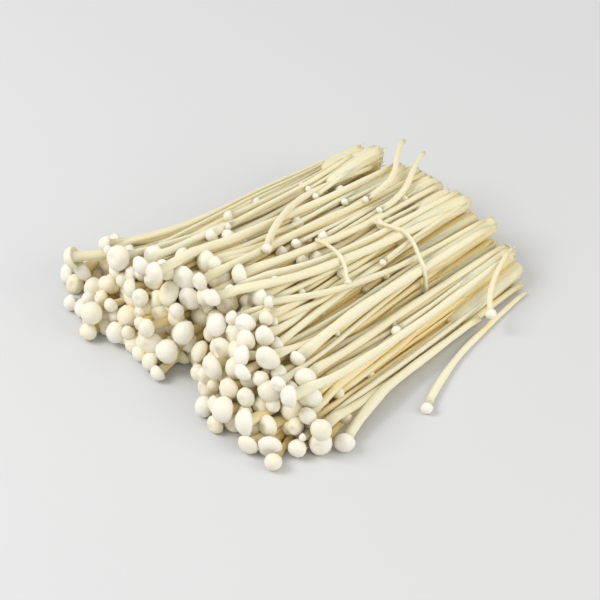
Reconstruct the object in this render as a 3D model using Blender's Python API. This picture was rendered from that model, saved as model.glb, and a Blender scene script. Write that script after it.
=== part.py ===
"""An enoki mushroom bunch, cut from its base and lying on its side.

The bunch comes apart into tufts, each a few mushrooms fused at the cut foot, and single mushrooms
that lie loose over the tufts. Layout lengths are in millimetres, and the meshes are in metres.
+X runs from the caps to the cut feet, +Z is up, and the origin is at the middle of the underside.
"""

import math
import random

import bmesh
import bpy
from mathutils import Matrix, Vector
from mathutils.bvhtree import BVHTree

MM = 0.001

# The knife cut across the feet, the far end of the caps, and the middle of the fan, in plan.
CUT_X = 60.0
CAP_END_X = -86.0
FOOT_MIDDLE_Y = -11.5
HEAD_MIDDLE_Y = -9.5

# Tufts lie in staggered layers, like pipes: how many are in each layer, from the floor up.
LAYERS = (13, 12, 9, 6)
FOOT_PITCH = 7.5
HEAD_PITCH = 9.5
TUFT_GAP = 0.7
LAYER_RISE = math.sqrt(3) / 2
SIDES = 6
FLAT = math.cos(math.pi / SIDES)

# The fan bows outwards and wanders a little, each layer stops short of the one below, and the
# cut slants, so that the near side is longer at its foot.
FAN_BOW = 3.0
WANDER = 1.1
LAYER_SET_BACK = 5.5
PARTING_DEPTH = 18.0
PARTING_LANES = 1.2
PARTING_AT_LANE = -0.7
SIDE_SET_BACK = 9.0
CUT_SCATTER = 2.5
CUT_SLANT = 0.85
CAP_SCATTER = 6.0
MIDDLE_LANES = 2.2

# Where a tuft's rings stand, as shares of its length from the foot, and how wide each is.
TUFT_RINGS = (
    (0.00, 0.93), (0.10, 1.00), (0.30, 0.96), (0.50, 0.92), (0.68, 0.88),
    (0.79, 1.00), (0.91, 1.00), (0.97, 0.80), (1.00, 0.45),
)

# A single mushroom's stem widens from the foot to its neck, and the cap is a low dome on it.
STEM_STEPS = 13
NECK_FLARE = 1.15
FOOT_TAPER = 0.85
CAP_RINGS = ((0.10, 0.86), (0.42, 1.00), (0.74, 0.80), (0.97, 0.38))
CAP_HEIGHT = 1.05

# Singles are laid on what is below them, felt for across their width and smoothed like a stiff cord.
REST_GAP = 0.6
LOOK_DOWN_FROM = 200.0
REST_SAMPLES = 49
REST_OFFSETS = (-1.0, -0.75, -0.5, -0.25, 0.0, 0.25, 0.5, 0.75, 1.0)
REST_SMOOTHINGS = 160
REST_FALL = 0.22
FLOOR_GAP = 0.25

# Tufts are warmer in colour the deeper they lie, and single mushrooms are the palest.
LAYER_COLOURS = (
    (0.80, 0.68, 0.42, 1.0), (0.84, 0.74, 0.49, 1.0), (0.88, 0.80, 0.56, 1.0), (0.90, 0.84, 0.63, 1.0),
)
SINGLE_COLOUR = (0.92, 0.88, 0.74, 1.0)
STEM_ROUGHNESS = 0.5
SINGLE_ROUGHNESS = 0.45

# Single mushrooms: name, plan points from the cap to the foot, stem radius and cap radius.
SINGLES = (
    ("far_edge_long", ((-71, 56), (-66, 47), (-50, 40), (-4, 36), (56, 30)), 1.5, 4.3),
    ("far_edge_short", ((-63, 45), (-54, 40), (-36, 36), (0, 31), (52, 22)), 1.5, 3.7),
    ("crown_wide_cap", ((-70, 7), (-64, 4), (-46, 3), (-14, 3), (54, 1)), 1.7, 4.9),
    ("crown_left_cap", ((-61, -6), (-54, -6), (-36, -6), (2, -8), (58, -10)), 1.5, 3.6),
    ("crown_middle_cap", ((-55, -18), (-46, -22), (-18, -27), (16, -28), (60, -28)), 1.5, 3.3),
    ("crown_round_cap", ((-48, -14), (-38, -15), (-14, -17), (16, -19), (60, -19)), 1.4, 4.6),
    ("valley_cap", ((-64, -17), (-55, -22), (-40, -28), (-7, -32), (59, -35)), 1.7, 3.8),
    ("valley_small_cap", ((-48, -31), (-41, -35), (-19, -39), (15, -41), (61, -42)), 1.2, 2.8),
    ("near_second_cap", ((-60, -60), (-51, -59), (-34, -58), (6, -55), (61, -53)), 1.4, 4.0),
    ("near_thick_neck", ((-56, -54), (-50, -54), (-32, -51), (2, -48), (60, -46)), 1.9, 3.0),
    ("near_top_cap", ((-69, -62), (-62, -65), (-48, -66), (-14, -63), (58, -58)), 1.5, 4.9),
    ("near_ball_cap", ((-66, -74), (-55, -73), (-38, -72), (-6, -69), (60, -64)), 1.5, 4.2),
    ("near_floor_reach", ((-58, -84), (-46, -79), (-36, -76), (-20, -73), (30, -69)), 1.7, 4.4),
    ("near_floor_stray", ((-21, -91), (-11, -85), (10, -77), (33, -72), (58, -68)), 1.3, 2.4),
    ("near_foot_curl", ((30, -76), (34, -71), (40, -66), (48, -62), (58, -58)), 1.0, 1.6),
    ("bent_over_top", ((-28, -11), (-13, -1), (8, 7), (26, 9), (46, 7)), 1.4, 1.9),
    ("thin_across_middle", ((-13, -40), (-10, -37), (-8, -31), (-6, -24), (-7, -17)), 0.9, 1.2),
    ("thin_across_near", ((19, -52), (21, -46), (24, -38), (22, -30), (19, -22)), 0.9, 1.3),
    ("far_foot_splinter", ((25, -10), (36, -9), (46, -6), (56, 2), (69, 12)), 1.2, 1.5),
    ("middle_foot_splinter", ((25, -18), (36, -17), (47, -13), (58, -6), (71, 2)), 1.1, 1.5),
)


def clear_scene():
    for thing in list(bpy.data.objects):
        bpy.data.objects.remove(thing)


def flesh(name, colour, roughness):
    material = bpy.data.materials.new(name)
    material.use_nodes = True
    shader = material.node_tree.nodes["Principled BSDF"]
    shader.inputs["Base Color"].default_value = colour
    shader.inputs["Roughness"].default_value = roughness
    shader.inputs["Metallic"].default_value = 0.0
    return material


def swept_mesh(name, rings):
    """A closed tube, flat side down, through rings: each a centre, a forward direction, a radius."""
    made = bmesh.new()
    bmesh.ops.create_circle(made, segments=SIDES, radius=1.0, cap_ends=False)
    before = Matrix.Identity(4)
    verts = list(made.verts)
    edges = list(made.edges)
    for step, (centre, forward, radius) in enumerate(rings):
        side = forward.cross(Vector((0, 0, 1))).normalized()
        up = side.cross(forward).normalized()
        turn = Matrix((up, side, forward.normalized())).transposed().to_4x4()
        place = Matrix.Translation(centre) @ turn @ Matrix.Diagonal((radius, radius, radius, 1))
        if step:
            grown = bmesh.ops.extrude_edge_only(made, edges=edges)["geom"]
            verts = [part for part in grown if isinstance(part, bmesh.types.BMVert)]
            edges = [part for part in grown if isinstance(part, bmesh.types.BMEdge)]
        bmesh.ops.transform(made, matrix=place @ before.inverted(), verts=verts)
        before = place
    bmesh.ops.holes_fill(made, edges=made.edges, sides=SIDES)
    bmesh.ops.recalc_face_normals(made, faces=made.faces)
    bmesh.ops.scale(made, vec=(MM, MM, MM), verts=made.verts)
    mesh = bpy.data.meshes.new(name)
    made.to_mesh(mesh)
    made.free()
    mesh.shade_smooth()
    mesh.set_sharp_from_angle(angle=math.radians(50))
    return mesh


def add_piece(name, rings, colour, roughness):
    piece = bpy.data.objects.new(name, swept_mesh(name, rings))
    piece.data.materials.append(flesh(f"{name} flesh", colour, roughness))
    bpy.context.scene.collection.objects.link(piece)
    return piece


# Tufts: each lies along one lane of the fan.

def along_fan(x):
    """0 at the cut, 1 at the far end of the caps."""
    return (CUT_X - x) / (CUT_X - CAP_END_X)


def pitch_at(x):
    return FOOT_PITCH + (HEAD_PITCH - FOOT_PITCH) * along_fan(x)


def tuft_radius_at(x):
    return (pitch_at(x) - TUFT_GAP) / 2


def lane_point(lane, layer, x):
    """The middle of a tuft in that lane and layer, at x."""
    share = along_fan(x)
    middle = FOOT_MIDDLE_Y + (HEAD_MIDDLE_Y - FOOT_MIDDLE_Y) * share
    bow = FAN_BOW * math.sin(math.pi * min(max(share, 0), 1)) * math.tanh(lane / 4)
    wander = WANDER * math.sin(7.0 * share + 0.35 * lane + 0.4 * layer)
    height = FLAT * tuft_radius_at(x) + layer * LAYER_RISE * pitch_at(x)
    return Vector((x, middle + lane * pitch_at(x) + bow + wander, height))


def head_end(lane, layer, chance):
    """How far a tuft reaches: the fan parts in the middle and is shorter at its sides."""
    parting = PARTING_DEPTH * math.exp(-(((lane - PARTING_AT_LANE) / PARTING_LANES) ** 2))
    side = SIDE_SET_BACK * max(0.0, abs(lane) - 4.6)
    return CAP_END_X + parting + side + layer * LAYER_SET_BACK + chance.uniform(0, CAP_SCATTER)


def group_of(lane):
    if abs(lane) < MIDDLE_LANES:
        return "middle"
    return "far" if lane > 0 else "near"


def tuft_rings(lane, layer, chance):
    foot_x = CUT_X - CUT_SLANT * lane + chance.uniform(-CUT_SCATTER, CUT_SCATTER)
    reach = foot_x - head_end(lane, layer, chance)
    rings = []
    for share, width in TUFT_RINGS:
        x = foot_x - reach * share
        ahead = lane_point(lane, layer, x - 1.0) - lane_point(lane, layer, x)
        ahead.z = 0
        rings.append((lane_point(lane, layer, x), ahead.normalized(), tuft_radius_at(x) * width))
    if layer == 0:
        rings = [(Vector((p.x, p.y, FLAT * r)), d, r) for p, d, r in rings]
    return rings


def make_tufts():
    chance = random.Random(7)
    counts = {}
    tufts = []
    for layer, count in enumerate(LAYERS):
        for place in range(count):
            lane = place - (count - 1) / 2
            group = group_of(lane)
            counts[group] = counts.get(group, 0) + 1
            name = f"{group}_tuft_{counts[group]:02d}"
            rings = tuft_rings(lane, layer, chance)
            tufts.append(add_piece(name, rings, LAYER_COLOURS[layer], STEM_ROUGHNESS))
    return tufts


# Single mushrooms: each is laid over whatever is already there.

def smooth_plan(points, count):
    """That many points evenly along a smooth curve through the plan points."""
    ends = [points[0]] + list(points) + [points[-1]]
    ends = [Vector(p) for p in ends]
    dense = []
    for a, b, c, d in zip(ends, ends[1:], ends[2:], ends[3:]):
        for step in range(20):
            t = step / 20
            bent = (2 * b) + (c - a) * t + (2 * a - 5 * b + 4 * c - d) * t * t
            dense.append((bent + (3 * b - a - 3 * c + d) * t ** 3) / 2)
    dense.append(ends[-1])
    run = [0.0]
    for a, b in zip(dense, dense[1:]):
        run.append(run[-1] + (b - a).length)
    spaced, at = [], 0
    for step in range(count):
        wanted = run[-1] * step / (count - 1)
        while at < len(run) - 2 and run[at + 1] < wanted:
            at += 1
        share = (wanted - run[at]) / max(run[at + 1] - run[at], 1e-9)
        spaced.append(dense[at].lerp(dense[at + 1], min(max(share, 0), 1)))
    return spaced, run[-1]


def placed_surface(pieces):
    """What is already lying there, in millimetres, for looking down on."""
    corners, faces = [], []
    for piece in pieces:
        first = len(corners)
        corners += [v.co / MM for v in piece.data.vertices]
        faces += [[first + i for i in polygon.vertices] for polygon in piece.data.polygons]
    return BVHTree.FromPolygons(corners, faces)


def clear_height(surface, place, side, radius):
    """The least height at which a round of that radius clears what lies under it."""
    height = radius + FLOOR_GAP
    kept_clear = radius + REST_GAP
    for offset in REST_OFFSETS:
        over = place + side * (offset * kept_clear)
        hit = surface.ray_cast(Vector((over.x, over.y, LOOK_DOWN_FROM)), Vector((0, 0, -1)))[0]
        if hit is not None:
            height = max(height, hit.z + kept_clear * math.sqrt(1 - offset ** 2))
    return height


def resting_heights(surface, plan, radii, step):
    """The heights of a springy stem that is laid on a surface and bridges its hollows."""
    needed = []
    last = len(plan) - 1
    for i, place in enumerate(plan):
        along = (plan[min(i + 1, last)] - plan[max(i - 1, 0)]).normalized()
        side = Vector((-along.y, along.x))
        needed.append(clear_height(surface, place, side, radii[i]))
    fall = REST_FALL * step
    for i in range(1, last + 1):
        needed[i] = max(needed[i], needed[i - 1] - fall)
    for i in range(last - 1, -1, -1):
        needed[i] = max(needed[i], needed[i + 1] - fall)
    heights = list(needed)
    for _ in range(REST_SMOOTHINGS):
        inner = [(a + c) / 2 for a, c in zip(heights, heights[2:])]
        heights = [heights[0]] + inner + [heights[-1]]
        heights = [max(h, n) for h, n in zip(heights, needed)]
    return heights


def ring_heights(heights, stations):
    """The heights at the rings, raised until the straight runs between them clear too."""
    raised = [heights[i] for i in stations]
    for k, (a, b) in enumerate(zip(stations, stations[1:])):
        slope = (raised[k + 1] - raised[k]) / (b - a)
        short = max(heights[i] - raised[k] - slope * (i - a) for i in range(a, b + 1))
        raised[k] += short
        raised[k + 1] += short
    return raised


def single_rings(surface, points, stem_radius, cap_radius):
    plan, length = smooth_plan(points[::-1], REST_SAMPLES)
    step = length / (REST_SAMPLES - 1)
    cap_samples = max(2, math.ceil(CAP_HEIGHT * cap_radius / step) + 1)
    neck = REST_SAMPLES - cap_samples
    radii = [stem_radius * NECK_FLARE] * (neck - 1) + [cap_radius] * (cap_samples + 1)
    heights = resting_heights(surface, plan, radii, step)
    stations = [round(neck * i / (STEM_STEPS - 1)) for i in range(STEM_STEPS)]
    stations.append(REST_SAMPLES - 1)
    raised = ring_heights(heights, stations)
    centres = [Vector((plan[i].x, plan[i].y, h)) for i, h in zip(stations, raised)]
    rings = []
    for k in range(STEM_STEPS):
        ahead = (centres[k + 1] - centres[max(k - 1, 0)]).normalized()
        share = k / (STEM_STEPS - 1)
        rings.append((centres[k], ahead, stem_radius * (FOOT_TAPER + (NECK_FLARE - FOOT_TAPER) * share)))
    top = (centres[-1] - centres[-2]).normalized()
    for share, width in CAP_RINGS:
        rings.append((centres[-2] + top * (share * CAP_HEIGHT * cap_radius), top, cap_radius * width))
    return rings


def add_singles(pieces):
    for name, points, stem_radius, cap_radius in SINGLES:
        rings = single_rings(placed_surface(pieces), points, stem_radius, cap_radius)
        pieces.append(add_piece(f"single_{name}", rings, SINGLE_COLOUR, SINGLE_ROUGHNESS))


def centre_on_origin(pieces):
    """Moves every mesh so that the origin is at the middle of the bunch's underside."""
    corners = [v.co for piece in pieces for v in piece.data.vertices]
    low = Vector([min(c[k] for c in corners) for k in range(3)])
    high = Vector([max(c[k] for c in corners) for k in range(3)])
    shift = Vector((-(low.x + high.x) / 2, -(low.y + high.y) / 2, -low.z))
    for piece in pieces:
        piece.data.transform(Matrix.Translation(shift))


clear_scene()
bunch = make_tufts()
add_singles(bunch)
centre_on_origin(bunch)
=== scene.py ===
import math
import random

import bmesh
import bpy
import numpy as np
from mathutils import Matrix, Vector, noise


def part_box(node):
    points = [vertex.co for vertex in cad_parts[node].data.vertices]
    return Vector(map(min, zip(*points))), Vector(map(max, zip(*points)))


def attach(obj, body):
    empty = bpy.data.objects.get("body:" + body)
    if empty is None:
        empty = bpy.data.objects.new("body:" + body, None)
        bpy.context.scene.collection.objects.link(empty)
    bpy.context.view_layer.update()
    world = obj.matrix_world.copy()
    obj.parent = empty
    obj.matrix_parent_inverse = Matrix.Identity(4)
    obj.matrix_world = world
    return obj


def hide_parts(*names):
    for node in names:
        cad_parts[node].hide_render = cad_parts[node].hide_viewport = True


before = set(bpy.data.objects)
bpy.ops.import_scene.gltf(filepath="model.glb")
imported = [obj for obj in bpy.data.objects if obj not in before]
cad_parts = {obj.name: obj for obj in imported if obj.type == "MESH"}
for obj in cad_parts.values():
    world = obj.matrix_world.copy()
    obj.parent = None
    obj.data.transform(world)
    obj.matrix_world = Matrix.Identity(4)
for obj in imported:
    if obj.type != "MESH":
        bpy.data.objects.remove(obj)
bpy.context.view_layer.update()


# The bunch as it lies. Each tuft is several mushrooms that grew from one foot: their stems are packed
# tight where the knife cut them and spread towards the caps. Nothing ties them, so they lean on each
# other, and here they are pushed apart slice by slice. Lengths are in millimetres up to the last step.
MM = 0.001
IN_TUFT = 10
IN_MIDDLE = 2
SLICE = 3.0
SLICES = np.arange(-90.0, 90.0, SLICE)
HALF_WAY = len(SLICES) // 2

# How many mushrooms of a tuft are long, and how many are middling. The rest are late and short.
LONG_SHARE, MIDDLING_SHARE = 0.66, 0.86
LONG_SHORT, MIDDLING_SHORT, LATE_SHORT = (-2, 15), (12, 38), (30, 80)
SMALLEST_LONG_CAP, LONG_CAP_RANGE = 2.7, 2.4
MIDDLING_CAP, LATE_CAP = (1.9, 3.4), (1.3, 2.3)
BIG_CAP = 3.9
DIMPLED_CAP, DIMPLED_SHARE = 3.0, 0.4
WIDEST_NECK = 2.2
STEM_WIDTHS = (0.74, 1.38)
THIN_STEMS, THIN_CAPS = (0.62, 1.15), (1.2, 2.6)
UPPER_SIDE, NEAR_EDGE = 17, -38
FAR_SPREAD = 3.0
FAR_RISE = 0.2
DOME_SHARE = 0.86

# How far behind the cap a stem narrows, and how far from the foot it thins.
NECK_RUN = 15.0
FOOT_RUN = 70.0

# The settling: room kept round a cap, the turns it is given, and how far it sinks in each.
CAP_MARGIN = 1.5
SETTLE_TURNS = 260
PAIRS_EVERY = 16
PAIR_REACH = 1.5
SINK = 0.015
LYING_ACROSS = ("single_thin_across_middle", "single_thin_across_near")

chance = random.Random(21)
tuft_nodes = sorted(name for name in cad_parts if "_tuft_" in name)
single_nodes = sorted(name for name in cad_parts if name.startswith("single_"))
mushrooms = []


def sliced(node, axis, places):
    """The middles and half widths of a node's slices across an axis, at those places along it."""
    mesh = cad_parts[node].data
    corners = np.empty(len(mesh.vertices) * 3)
    mesh.vertices.foreach_get("co", corners)
    corners = corners.reshape(-1, 3) / MM
    pairs = np.empty(len(mesh.edges) * 2, int)
    mesh.edges.foreach_get("vertices", pairs)
    pairs = pairs.reshape(-1, 2)
    kept, middles, halves = [], [], []
    for place in places:
        beyond = corners[:, axis] - place
        a, b = beyond[pairs[:, 0]], beyond[pairs[:, 1]]
        cut = a * b < 0
        if cut.sum() < 3:
            continue
        share = (a[cut] / (a[cut] - b[cut]))[:, None]
        start, end = corners[pairs[cut, 0]], corners[pairs[cut, 1]]
        outline = start + share * (end - start)
        kept.append(place)
        middles.append((outline.min(0) + outline.max(0)) / 2)
        halves.append((outline.max(0) - outline.min(0)) / 2)
    return np.array(kept), np.array(middles), np.array(halves)


def stem_radius(grown, from_neck, from_foot):
    """A stem is widest at its neck, and thins again over its last stretch to the foot."""
    neck = np.exp(-np.clip(from_neck, 0, None) / NECK_RUN)
    thinned = 1 - grown["thinned"] * (1 - np.clip(from_foot / FOOT_RUN, 0, 1)) ** 1.5
    return (grown["stem"] + (grown["neck"] - grown["stem"]) * neck) * thinned


def profile_radius(grown, behind_tip):
    """How thick a mushroom is, at distances behind its cap's tip."""
    dome = grown["dome"]
    inside = np.clip((dome - behind_tip) / dome, 0, 1)
    cap = grown["cap"] * np.sqrt(1 - inside ** 2)
    stem = stem_radius(grown, behind_tip - dome, grown["foot"] - grown["tip"] - behind_tip)
    return np.where(behind_tip < 0, 0, np.where(behind_tip <= dome, cap, stem))


def new_mushroom(node, cap, stem, tip, foot, y, z):
    """A mushroom whose stem follows y and z at every slice, from its cap's tip to its foot."""
    flatness = chance.uniform(0.85, 1.25) if cap > BIG_CAP else chance.uniform(1.0, 1.5)
    return {
        "node": node, "cap": cap, "stem": stem, "neck": max(stem * 1.12, min(0.52 * cap, WIDEST_NECK)),
        "dome": DOME_SHARE * flatness * cap, "tip": tip, "foot": foot, "y": y, "z": z,
        "seed": chance.uniform(0, 100), "dimple": cap > DIMPLED_CAP and chance.random() < DIMPLED_SHARE,
        "thinned": chance.uniform(0.25, 0.45), "tilt": chance.uniform(0.1, 0.5),
    }


for node in tuft_nodes:
    low, high = (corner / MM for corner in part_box(node))
    places, middles, halves = sliced(node, 0, np.arange(low.x + 1, high.x - 0.5, SLICE))
    middle_y = np.interp(SLICES, places, middles[:, 1])
    middle_z = np.interp(SLICES, places, middles[:, 2])
    across = np.interp(SLICES, places[:-3], halves[:-3, 1])
    across = np.maximum(across, np.interp(SLICES, [low.x, high.x], [3.9, 3.2]))
    share = np.clip((high.x - SLICES) / (high.x - low.x), 0, 1.1)
    if node.startswith("far_"):
        rising = np.clip((SLICES + 40) / 90, 0, 1)
        middle_y = middle_y + FAR_SPREAD * rising
        middle_z = middle_z * (1 + FAR_RISE * rising)
    turn = chance.uniform(0, math.tau)
    twist = chance.uniform(-1.6, 1.6)
    for k in range(IN_TUFT):
        kind = chance.random()
        if kind < LONG_SHARE:
            short = chance.uniform(*LONG_SHORT)
            cap = SMALLEST_LONG_CAP + LONG_CAP_RANGE * chance.random() ** 1.1
        elif kind < MIDDLING_SHARE:
            short, cap = chance.uniform(*MIDDLING_SHORT), chance.uniform(*MIDDLING_CAP)
        else:
            short, cap = chance.uniform(*LATE_SHORT), chance.uniform(*LATE_CAP)
        in_ring = IN_MIDDLE if k < IN_MIDDLE else IN_TUFT - IN_MIDDLE
        angle = turn + math.tau * k / in_ring + twist * share
        out = 0.25 if k < IN_MIDDLE else 0.68
        sway = chance.uniform(0.8, 2.4) * share
        beat, start = chance.uniform(2.5, 8.5), chance.uniform(0, math.tau)
        drift = chance.uniform(-9, 9) if chance.random() < 0.4 else chance.uniform(-1.5, 1.5)
        y = middle_y + out * across * np.cos(angle) + sway * np.sin(beat * share + start)
        y = y + drift * share ** 1.3
        z = middle_z + out * across * np.sin(angle) + 0.5 * sway * np.cos(beat * share + start)
        stem = chance.uniform(*STEM_WIDTHS) * (0.84 + 0.055 * cap)
        foot = high.x + (chance.uniform(0.4, 2.6) if chance.random() < 0.2 else -chance.uniform(0.5, 5))
        mushrooms.append(new_mushroom(node, cap, stem, low.x + short, foot, y, z))

    # Small late mushrooms push up between the long ones, and show on the upper side.
    exposed = middle_z[HALF_WAY] > UPPER_SIDE or middle_y[HALF_WAY] < NEAR_EDGE
    for k in range(chance.choice((3, 4, 5)) if exposed else 0):
        short, cap = chance.uniform(4, 90), chance.uniform(*THIN_CAPS)
        aside, drift = chance.uniform(-4, 4), chance.uniform(-10, 10)
        sway, beat, start = chance.uniform(1, 3.5), chance.uniform(3, 9), chance.uniform(0, math.tau)
        y = middle_y + aside + sway * share * np.sin(beat * share + start) + drift * share
        z = middle_z + across * 1.15
        stem = chance.uniform(*THIN_STEMS)
        foot = high.x - chance.uniform(-1, 14)
        mushrooms.append(new_mushroom(node, cap, stem, low.x + short, foot, y, z))

for node in single_nodes:
    if node in LYING_ACROSS:
        continue
    low, high = (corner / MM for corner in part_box(node))
    places, middles, halves = sliced(node, 0, np.arange(low.x + 0.2, high.x, 0.5))
    y = np.interp(SLICES, places, middles[:, 1])
    z = np.interp(SLICES, places, middles[:, 2])
    stem = float(np.median(halves[:, 1]))
    cap = float(halves[:18, 1:].max())
    mushrooms.append(new_mushroom(node, cap, stem, low.x, high.x, y, z))


def settle(grown_ones, turns):
    """Pushes overlapping mushrooms apart, slice by slice, and lets them sink and stay smooth."""
    home = np.array([np.stack([grown["y"], grown["z"]], 1) for grown in grown_ones])
    behind = SLICES[None, :] - np.array([grown["tip"] for grown in grown_ones])[:, None]
    radii = np.array([
        np.maximum.reduce([profile_radius(grown, b + shift) for shift in (-CAP_MARGIN, 0, CAP_MARGIN)])
        for grown, b in zip(grown_ones, behind)
    ])
    radii[SLICES[None, :] > np.array([grown["foot"] for grown in grown_ones])[:, None] + SLICE] = 0
    held = np.clip((SLICES - 40) / 25, 0, 1)[None, :, None] * 0.03 + 0.006
    home[:, :, 1] = np.maximum(home[:, :, 1], radii)
    at = home.copy()
    for turn in range(turns):
        if turn % PAIRS_EVERY == 0:
            firsts, seconds, slices = [], [], []
            for k in range(len(SLICES)):
                there = np.nonzero(radii[:, k])[0]
                apart = at[there, None, k] - at[None, there, k]
                reach = radii[there, k][:, None] + radii[there, k][None, :] + PAIR_REACH
                near = np.triu((apart ** 2).sum(2) < reach ** 2, 1)
                a, b = np.nonzero(near)
                firsts.append(there[a])
                seconds.append(there[b])
                slices.append(np.full(len(a), k))
            first, second, which = map(np.concatenate, (firsts, seconds, slices))
            touch = radii[first, which] + radii[second, which]
            flat_first = first * len(SLICES) + which
            flat_second = second * len(SLICES) + which
        apart = at[first, which] - at[second, which]
        length = np.maximum(np.sqrt((apart ** 2).sum(1)), 1e-6)
        over = np.clip(touch - length, 0, None)
        push = apart * (0.5 * over / length)[:, None]
        size = at.shape[0] * at.shape[1]
        count = np.bincount(flat_first, over > 0, size) + np.bincount(flat_second, over > 0, size)
        share = 1 / np.maximum(1, 0.6 * count)
        for side in range(2):
            moved = np.bincount(flat_first, push[:, side], size)
            moved -= np.bincount(flat_second, push[:, side], size)
            at[:, :, side] += (moved * share).reshape(at.shape[:2])
        at[:, :, 1] -= SINK
        off = at - home
        for _ in range(2):
            off[:, 1:-1] += 0.45 * ((off[:, :-2] + off[:, 2:]) / 2 - off[:, 1:-1])
            off[:, 0], off[:, -1] = off[:, 1], off[:, -2]
        at = home + off * (1 - held)
        at[:, :, 1] = np.maximum(at[:, :, 1], radii)
    for grown, line, radius in zip(grown_ones, at, radii):
        grown["y"], grown["z"], grown["radii"] = line[:, 0], line[:, 1], radius


settle(mushrooms, SETTLE_TURNS)

# The height of the bunch's upper side, a millimetre apart across it, for how deep each point lies, which
# sets how much warm shade is painted on it.
FIELD_Y = np.arange(-85.0, 86.0, 1.0)
field = np.zeros((len(SLICES), len(FIELD_Y)))
for grown in mushrooms:
    within = grown["radii"][:, None] ** 2 - (FIELD_Y[None, :] - grown["y"][:, None]) ** 2
    top = np.where(within > 0, grown["z"][:, None] + np.sqrt(np.clip(within, 0, None)), 0)
    field = np.maximum(field, top)
for _ in range(2):
    field[1:-1] = (field[:-2] + 2 * field[1:-1] + field[2:]) / 4
    field[:, 1:-1] = (field[:, :-2] + 2 * field[:, 1:-1] + field[:, 2:]) / 4


# The tufts. A mushroom's stem is a long tube, thin at the foot and wide at the neck, and its cap is a
# soft button whose rim curls in over the stem. Near the cut the stems of a tuft are still one ribbed
# block of flesh, which the knife left ragged. Stem, cap and foot all grew as one.
STEM_RINGS = 15
CAP_RINGS = (
    (-0.05, 0.50), (-0.17, 0.90), (-0.05, 1.00), (0.17, 1.01), (0.41, 0.91),
    (0.61, 0.74), (0.77, 0.49), (0.85, 0.21),
)
DIMPLE_RISES = (0.76, 0.68)
MANY_SIDES, FEW_SIDES = 12, 8
FOOT_SIDES = 40
FOOT_STEPS = ((0.0, 1.04), (0.02, 1.11), (0.15, 1.11), (0.4, 1.08), (0.65, 1.04), (0.85, 0.96), (1.0, 0.72))
FOOT_RIBS = 13
RAGGED = 1.3
SHREDS = 10
# The depth under the upper side at which the warm painted shade is at its strongest, and the lowest a point
# may lie.
FULLY_DEEP = 8.0
LOWEST = 0.02
templates = {}


def depth_under_top(points):
    """How far points lie under the top of the bunch, in millimetres."""
    a = np.clip((points[:, 0] - SLICES[0]) / SLICE, 0, len(SLICES) - 1.001)
    b = np.clip(points[:, 1] - FIELD_Y[0], 0, len(FIELD_Y) - 1.001)
    i, j = a.astype(int), b.astype(int)
    s, t = a - i, b - j
    top = (field[i, j] * (1 - s) * (1 - t) + field[i + 1, j] * s * (1 - t)
           + field[i, j + 1] * (1 - s) * t + field[i + 1, j + 1] * s * t)
    return np.clip(top - points[:, 2], 0, None)


def plain_tube(name, sides, rings, cut_rings=0):
    """A straight tube of rings a unit apart, closed at both ends, for a form to be shaped from.

    With cut rings, its first end is divided inwards, so that the end can be torn.
    """
    if name not in templates:
        made = bmesh.new()
        bmesh.ops.create_circle(made, segments=sides, radius=1.0, cap_ends=False)
        edges = list(made.edges)
        for _ in range(rings - 1):
            grown = bmesh.ops.extrude_edge_only(made, edges=edges)["geom"]
            verts = [part for part in grown if isinstance(part, bmesh.types.BMVert)]
            edges = [part for part in grown if isinstance(part, bmesh.types.BMEdge)
                     and all(vert in verts for vert in part.verts)]
            bmesh.ops.translate(made, verts=verts, vec=(0, 0, 1))
        bmesh.ops.holes_fill(made, edges=made.edges, sides=sides)
        bmesh.ops.recalc_face_normals(made, faces=made.faces)
        cut = [face for face in made.faces if face.calc_center_median().z < 0.25]
        for _ in range(cut_rings):
            bmesh.ops.inset_region(made, faces=cut, thickness=0.31)
        if cut_rings:
            bmesh.ops.poke(made, faces=cut)
        for face in made.faces:
            is_cap = not cut_rings and face.calc_center_median().z > STEM_RINGS + 0.6
            face.material_index = 1 if is_cap else 0
            face.smooth = True
        mesh = bpy.data.meshes.new(name)
        made.to_mesh(mesh)
        made.free()
        shape = np.empty(len(mesh.vertices) * 3)
        mesh.vertices.foreach_get("co", shape)
        templates[name] = (mesh, shape.reshape(-1, 3))
    return templates[name]


def plain_shred():
    """A small tapered splinter, for the torn edge of a cut foot."""
    if "shred" not in templates:
        made = bmesh.new()
        bmesh.ops.create_cone(made, cap_ends=True, segments=5, radius1=1.0, radius2=0.3, depth=1.0)
        for face in made.faces:
            face.smooth = True
        mesh = bpy.data.meshes.new("plain shred")
        made.to_mesh(mesh)
        made.free()
        shape = np.empty(len(mesh.vertices) * 3)
        mesh.vertices.foreach_get("co", shape)
        templates["shred"] = (mesh, shape.reshape(-1, 3))
    return templates["shred"]


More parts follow.
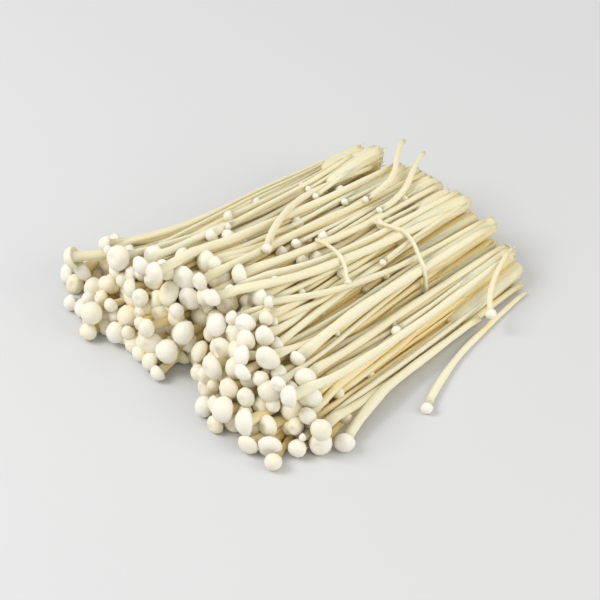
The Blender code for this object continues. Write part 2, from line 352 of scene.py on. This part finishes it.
def grown_mushroom(line, grown, sides):
    """A mushroom's points, fibres, painted shade and tones, from a line of middles that runs from foot to
    neck.
    """
    mesh, shape = plain_tube(f"plain mushroom {sides}", sides, STEM_RINGS + len(CAP_RINGS))
    ring = np.rint(shape[:, 2]).astype(int)
    run = np.concatenate([[0], np.cumsum(np.linalg.norm(np.diff(line, axis=0), axis=1))])
    along = np.linspace(0, run[-1], STEM_RINGS)
    middles = np.stack([np.interp(along, run, line[:, k]) for k in range(3)], 1)
    ahead = np.gradient(middles, axis=0)
    ahead /= np.linalg.norm(ahead, axis=1)[:, None]
    radii = stem_radius(grown, run[-1] - along, along)
    seed = grown["seed"]
    radii = radii * (1 + 0.06 * np.sin(along * 0.21 + seed) + 0.03 * np.sin(along * 0.53 + 2 * seed))
    tilt = np.array([0.0, math.sin(seed * 7.1), math.cos(seed * 5.3)]) * grown["tilt"]
    top = ahead[-1] + tilt
    top /= np.linalg.norm(top)
    cap, high = grown["cap"], grown["dome"] / DOME_SHARE
    centres, forwards, widths = list(middles), list(ahead), list(radii)
    for k, (rise, width) in enumerate(CAP_RINGS):
        if k == 0:
            width = (grown["neck"] + 0.45 * (cap - grown["neck"])) / cap
        if grown["dimple"] and k >= 6:
            rise = DIMPLE_RISES[k - 6]
        centres.append(middles[-1] + top * rise * high)
        forwards.append(top)
        widths.append(cap * width)
    centres, forwards, widths = np.array(centres), np.array(forwards), np.array(widths)
    side = np.cross(forwards, (0.0, 0.0, 1.0))
    side /= np.linalg.norm(side, axis=1)[:, None]
    up = np.cross(side, forwards)
    in_cap = ring >= STEM_RINGS
    oval = 1 + np.where(in_cap, 0.05, 0.16) * math.sin(seed * 3.7)
    around = side[ring] * (shape[:, 0] * oval)[:, None] + up[ring] * (shape[:, 1] / oval)[:, None]
    lumps = np.ones(len(shape))
    for k in np.nonzero(ring >= STEM_RINGS + 1)[0]:
        spot = Vector((shape[k, 0], shape[k, 1], 0.35 * (ring[k] - STEM_RINGS))) * 1.1
        lumps[k] = 1 + 0.08 * noise.noise(spot + Vector((seed, 2 * seed, 0)))
    points = centres[ring] + around * (widths[ring] * lumps)[:, None]
    points[:, 2] = np.maximum(points[:, 2], LOWEST)
    length = np.concatenate([along, np.full(len(CAP_RINGS), run[-1])])[ring]
    fibre = np.stack([shape[:, 0] + seed, shape[:, 1] + 1.7 * seed, length * 0.05], 1)
    fibre[in_cap] = (points[in_cap] - middles[-1]) / 2.2 + seed
    # Painted shade: the deeper a point lies under the bunch's upper side, the warmer its flesh is painted.
    painted_shade = np.clip(depth_under_top(points) / FULLY_DEEP, 0, 1)
    tone = np.full(len(points), (seed * 0.377) % 1.0)
    near_cap = np.clip(1 - (run[-1] - length) / 16.0, 0, 1)
    return mesh, points, fibre, np.stack([painted_shade, np.exp(-length / 9.0), tone, near_cap], 1)


def fused_foot(members, end, reach, seed):
    """A tuft's fused foot: a ribbed sleeve round its stems that sinks in among them, with a torn cut."""
    mesh, shape = plain_tube("plain foot", FOOT_SIDES, len(FOOT_STEPS), 2)
    angles = np.arange(FOOT_SIDES) * math.tau / FOOT_SIDES
    around = np.stack([np.cos(angles), np.sin(angles)], 1)
    rings, centres = [], []
    for share, width in FOOT_STEPS:
        x = end - reach * share
        discs = np.array([
            (np.interp(x, SLICES, g["y"]), np.interp(x, SLICES, g["z"]), profile_radius(g, x - g["tip"]))
            for g in members if g["tip"] + g["dome"] < x - 4 and g["foot"] > end - 12
        ], float)
        middle = np.median(discs[:, :2], axis=0)
        close = np.linalg.norm(discs[:, :2] - middle, axis=1) < 6.0
        off, size = discs[close, :2] - middle, discs[close, 2]
        along = around @ off.T
        hull = (along + size).max(1)
        miss = (off ** 2).sum(1)[None, :] - along ** 2
        hit = np.where(miss < size ** 2, along + np.sqrt(np.clip(size ** 2 - miss, 0, None)), 0).max(1)
        radius = (0.55 * hull + 0.45 * np.maximum(hit, 0.7 * hull)) * width
        radius = (np.roll(radius, 1) + 2 * radius + np.roll(radius, -1)) / 4
        radius = radius * (1 + 0.045 * np.cos(FOOT_RIBS * angles + seed + 0.6 * share))
        rings.append(around * radius[:, None])
        centres.append((x, *middle))
    rings, centres = np.array(rings), np.array(centres)
    ring = np.rint(shape[:, 2]).astype(int)
    turn = np.rint(np.arctan2(shape[:, 1], shape[:, 0]) * FOOT_SIDES / math.tau).astype(int) % FOOT_SIDES
    out = np.where(ring == 0, np.hypot(shape[:, 0], shape[:, 1]), 1.0)
    points = centres[ring].copy()
    points[:, 1:] += rings[ring, turn] * out[:, None]
    for k in np.nonzero(ring == 0)[0]:
        spot = Vector((points[k, 1] * 0.9, points[k, 2] * 0.9, seed))
        points[k, 0] += RAGGED * noise.noise(spot) * 2 - 0.6
    points[:, 2] = np.maximum(points[:, 2], LOWEST)
    length = end - points[:, 0]
    fibre = np.column_stack([points[:, 1] * 1.3, points[:, 2] * 1.3, length * 0.05])
    # Painted shade: the deeper a point of the foot lies under the bunch's upper side, the warmer it is
    # painted.
    painted_shade = np.clip(depth_under_top(points) / FULLY_DEEP, 0, 1)
    shade_and_tone = np.column_stack([painted_shade, np.exp(-np.clip(length, 0, None) / 9.0),
                             np.full(len(points), 0.5), np.zeros(len(points))])
    return (mesh, points, fibre, shade_and_tone), centres[0], rings[0]


def torn_shred(root, length, width, lean, seed):
    """A splinter of flesh that stands out from the cut, leaning to one side."""
    mesh, shape = plain_shred()
    share = shape[:, 2] + 0.5
    points = np.array(root) + np.column_stack([
        share * length - 1.0,
        shape[:, 0] * width + lean[0] * share ** 1.5 * length,
        shape[:, 1] * width + lean[1] * share ** 1.5 * length,
    ])
    points[:, 2] = np.maximum(points[:, 2], LOWEST)
    fibre = np.column_stack([shape[:, :2] + seed, share * 0.2])
    # Painted shade: the deeper a point of the shred lies under the bunch's upper side, the warmer it is
    # painted.
    painted_shade = np.clip(depth_under_top(points) / FULLY_DEEP, 0, 1)
    shade_and_tone = np.column_stack([painted_shade, np.tile((0.3, 0.8, 0.0), (len(points), 1))])
    return mesh, points, fibre, shade_and_tone


def joined_piece(name, forms, node):
    """One piece made of several grown forms, with the painted shade and tones that its flesh is coloured
    by.
    """
    made = bmesh.new()
    for mesh, *_ in forms:
        made.from_mesh(mesh)
    mesh = bpy.data.meshes.new(name)
    made.to_mesh(mesh)
    made.free()
    points = np.concatenate([form[1] for form in forms]) * MM
    mesh.vertices.foreach_set("co", points.ravel())
    fibre = mesh.attributes.new("fibre", "FLOAT_VECTOR", "POINT")
    fibre.data.foreach_set("vector", np.concatenate([f[2] for f in forms]).astype(np.float32).ravel())
    # The first channel is painted shade; the others are the cut foot's tint, a tone for each mushroom and
    # the nearness of the cap.
    shade_and_tone = mesh.attributes.new("shade_and_tone", "FLOAT_COLOR", "POINT")
    shade_and_tone.data.foreach_set("color", np.concatenate([f[3] for f in forms]).astype(np.float32).ravel())
    mesh.update()
    piece = bpy.data.objects.new(name, mesh)
    bpy.context.scene.collection.objects.link(piece)
    piece.data.materials.append(stem_flesh)
    piece.data.materials.append(cap_skin)
    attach(piece, "root")
    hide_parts(node)
    return piece


def line_of(grown):
    """The middles of a settled stem, from its foot to its neck."""
    neck = grown["tip"] + grown["dome"]
    inner = SLICES[(SLICES > neck) & (SLICES < grown["foot"])]
    xs = np.concatenate([[grown["foot"]], inner[::-1], [neck]])
    return np.stack([xs, np.interp(xs, SLICES, grown["y"]), np.interp(xs, SLICES, grown["z"])], 1)


def flesh(name, pale, painted_shade_colour, shaded, roughness, grain, bumps):
    """Mushroom flesh: pale where light falls, with a warm painted shade where stems lie packed deep under
    the upper side, standing in for light that glows through them, and a warm tint at the cut foot.
    """
    material = bpy.data.materials.new(name)
    material.use_nodes = True
    nodes, links = material.node_tree.nodes, material.node_tree.links
    shader = nodes["Principled BSDF"]
    fibre = nodes.new("ShaderNodeAttribute")
    fibre.attribute_name = "fibre"
    shade_and_tone = nodes.new("ShaderNodeAttribute")
    shade_and_tone.attribute_name = "shade_and_tone"
    split = nodes.new("ShaderNodeSeparateColor")
    links.new(shade_and_tone.outputs["Color"], split.inputs["Color"])

    streaks = nodes.new("ShaderNodeTexNoise")
    streaks.inputs["Scale"].default_value = grain
    streaks.inputs["Detail"].default_value = 5.0
    links.new(fibre.outputs["Vector"], streaks.inputs["Vector"])

    # Painted shade: the flesh turns from its pale colour to the warm shade colour the deeper it lies among
    # the packed stems.
    painted_shade = nodes.new("ShaderNodeMix")
    painted_shade.data_type = "RGBA"
    painted_shade.inputs["A"].default_value = pale
    painted_shade.inputs["B"].default_value = painted_shade_colour
    links.new(split.outputs["Red"], painted_shade.inputs["Factor"])

    def tint(colour, factor, base):
        layer = nodes.new("ShaderNodeMix")
        layer.data_type = "RGBA"
        layer.blend_type = "MULTIPLY"
        layer.inputs["B"].default_value = colour
        links.new(factor, layer.inputs["Factor"])
        links.new(base, layer.inputs["A"])
        return layer.outputs["Result"]

    colour = tint(shaded, streaks.outputs["Fac"], painted_shade.outputs["Result"])
    colour = tint((0.97, 0.92, 0.80, 1), split.outputs["Green"], colour)
    colour = tint((0.96, 0.93, 0.84, 1), split.outputs["Blue"], colour)
    links.new(colour, shader.inputs["Base Color"])

    shine = nodes.new("ShaderNodeMapRange")
    shine.inputs["To Min"].default_value = roughness - 0.08
    shine.inputs["To Max"].default_value = roughness + 0.10
    links.new(streaks.outputs["Fac"], shine.inputs["Value"])
    links.new(shine.outputs["Result"], shader.inputs["Roughness"])

    bump = nodes.new("ShaderNodeBump")
    bump.inputs["Strength"].default_value = bumps
    bump.inputs["Distance"].default_value = 0.0004
    links.new(streaks.outputs["Fac"], bump.inputs["Height"])
    links.new(bump.outputs["Normal"], shader.inputs["Normal"])

    shader.inputs["Subsurface Weight"].default_value = 0.3
    shader.inputs["Subsurface Radius"].default_value = (1.0, 0.75, 0.45)
    shader.inputs["Subsurface Scale"].default_value = 0.0012
    shader.inputs["IOR"].default_value = 1.38
    return material


# The second colour of each flesh is painted shade, for flesh lying deep among the packed stems.
stem_flesh = flesh("stem flesh", (0.87, 0.85, 0.70, 1), (0.93, 0.77, 0.40, 1), (0.96, 0.93, 0.82, 1),
                   0.44, 3.0, 0.35)
cap_skin = flesh("cap skin", (0.91, 0.90, 0.85, 1), (0.93, 0.88, 0.74, 1), (0.97, 0.955, 0.90, 1),
                 0.42, 2.2, 0.5)

by_node = {}
for grown in mushrooms:
    by_node.setdefault(grown["node"], []).append(grown)

for node in tuft_nodes:
    group, _, number = node.partition("_tuft_")
    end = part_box(node)[1].x / MM - 0.5
    reach = chance.uniform(28, 44) if group == "near" else chance.uniform(16, 34)
    seed = chance.uniform(0, 50)
    foot, cut, rim = fused_foot(by_node[node], end, reach, seed)
    forms = [foot]
    for k in range(SHREDS):
        place, out = chance.randrange(FOOT_SIDES), chance.uniform(0.2, 0.97)
        root = (cut[0] - 0.8, cut[1] + rim[place][0] * out, cut[2] + rim[place][1] * out)
        lean = (chance.uniform(-0.6, 0.6), chance.uniform(-0.5, 0.5))
        forms.append(torn_shred(root, chance.uniform(2.2, 5.0), chance.uniform(0.3, 0.6), lean, seed + k))
    forms += [grown_mushroom(line_of(g), g, MANY_SIDES if g["cap"] > 2.5 else FEW_SIDES)
              for g in by_node[node]]
    joined_piece(f"mushrooms_{group}_{number}", forms, node)


# The loose mushrooms. These slid out of their tufts and lie on the bunch or beside it, one piece each,
# where their whole length can be seen.
for node in single_nodes:
    if node not in LYING_ACROSS:
        grown = by_node[node][0]
        forms = [grown_mushroom(line_of(grown), grown, 20)]
        joined_piece(node.replace("single_", "mushroom_"), forms, node)


# The two thin mushrooms that lie across the others. They are limp, so they are laid over the settled
# stems and follow them up and down.
def top_at(x, y, radius):
    """The lowest a round thing of that radius can lie at x, y on the settled mushrooms."""
    k = int(round((x - SLICES[0]) / SLICE))
    middles = np.array([(g["y"][k], g["z"][k], g["radii"][k]) for g in mushrooms if g["radii"][k] > 0])
    reach = middles[:, 2] + radius
    within = reach ** 2 - (middles[:, 0] - y) ** 2
    over = within > 0
    return max([radius] + list(middles[over, 1] + np.sqrt(within[over])))


for node in LYING_ACROSS:
    low, high = (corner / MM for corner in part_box(node))
    places, line, halves = sliced(node, 1, np.linspace(low.y + 0.3, high.y - 0.3, 40))
    stem, cap = float(np.median(halves[:, 0])), float(halves[:6, 0].max())
    rest = np.array([top_at(x, y, stem) for x, y in line[:, :2]])
    heights = rest.copy()
    for _ in range(120):
        heights[1:-1] = (heights[:-2] + heights[2:]) / 2
        heights = np.maximum(heights, rest)
    line[:, 2] = heights
    grown = {"stem": stem, "neck": stem * 1.15, "cap": cap, "dome": DOME_SHARE * cap, "seed": 3.0,
             "dimple": False, "tilt": 0.2, "thinned": 0.2}
    forms = [grown_mushroom(line[::-1], grown, 14)]
    joined_piece(node.replace("single_", "mushroom_"), forms, node)


# The table top, the light and the camera. Daylight comes softly from beyond the cap end, a weaker light
# fills from the near side, and the camera looks down over the caps.
FLOOR_TONE = (0.66, 0.675, 0.695, 1)
AZIMUTH, ELEVATION = math.radians(-43), math.radians(40)
AIM = Vector((-0.0097, -0.0008, 0.010))
DISTANCE = 0.808
LENS = 126

made = bmesh.new()
bmesh.ops.create_grid(made, x_segments=1, y_segments=1, size=4.0)
floor_mesh = bpy.data.meshes.new("table top")
made.to_mesh(floor_mesh)
made.free()
floor = bpy.data.objects.new("table_top", floor_mesh)
table = bpy.data.materials.new("pale table")
table.use_nodes = True
table.node_tree.nodes["Principled BSDF"].inputs["Base Color"].default_value = FLOOR_TONE
table.node_tree.nodes["Principled BSDF"].inputs["Roughness"].default_value = 0.6
floor.data.materials.append(table)
bpy.context.scene.collection.objects.link(floor)


def soft_light(name, place, size, watts, colour):
    light = bpy.data.objects.new(name, bpy.data.lights.new(name, "AREA"))
    light.data.size = size
    light.data.energy = watts
    light.data.color = colour
    light.location = place
    light.rotation_euler = (-Vector(place)).to_track_quat("-Z", "Y").to_euler()
    bpy.context.scene.collection.objects.link(light)


soft_light("window", (-0.55, 0.45, 0.75), 0.5, 5.5, (1.0, 0.98, 0.95))
soft_light("bounce", (0.3, -0.9, 0.5), 0.9, 5.0, (1.0, 0.95, 0.87))
room = bpy.data.worlds.new("room")
bpy.context.scene.world = room
room.use_nodes = True
room.node_tree.nodes["Background"].inputs["Color"].default_value = (1.0, 0.99, 0.97, 1)
room.node_tree.nodes["Background"].inputs["Strength"].default_value = 0.66

back = Vector((math.sin(AZIMUTH) * math.cos(ELEVATION), -math.cos(AZIMUTH) * math.cos(ELEVATION),
               math.sin(ELEVATION)))
camera = bpy.data.objects.new("camera", bpy.data.cameras.new("camera"))
camera.data.lens = LENS
camera.location = AIM + back * DISTANCE
camera.rotation_euler = (-back).to_track_quat("-Z", "Y").to_euler()
bpy.context.scene.collection.objects.link(camera)
bpy.context.scene.camera = camera
bpy.context.scene.view_settings.view_transform = "Standard"
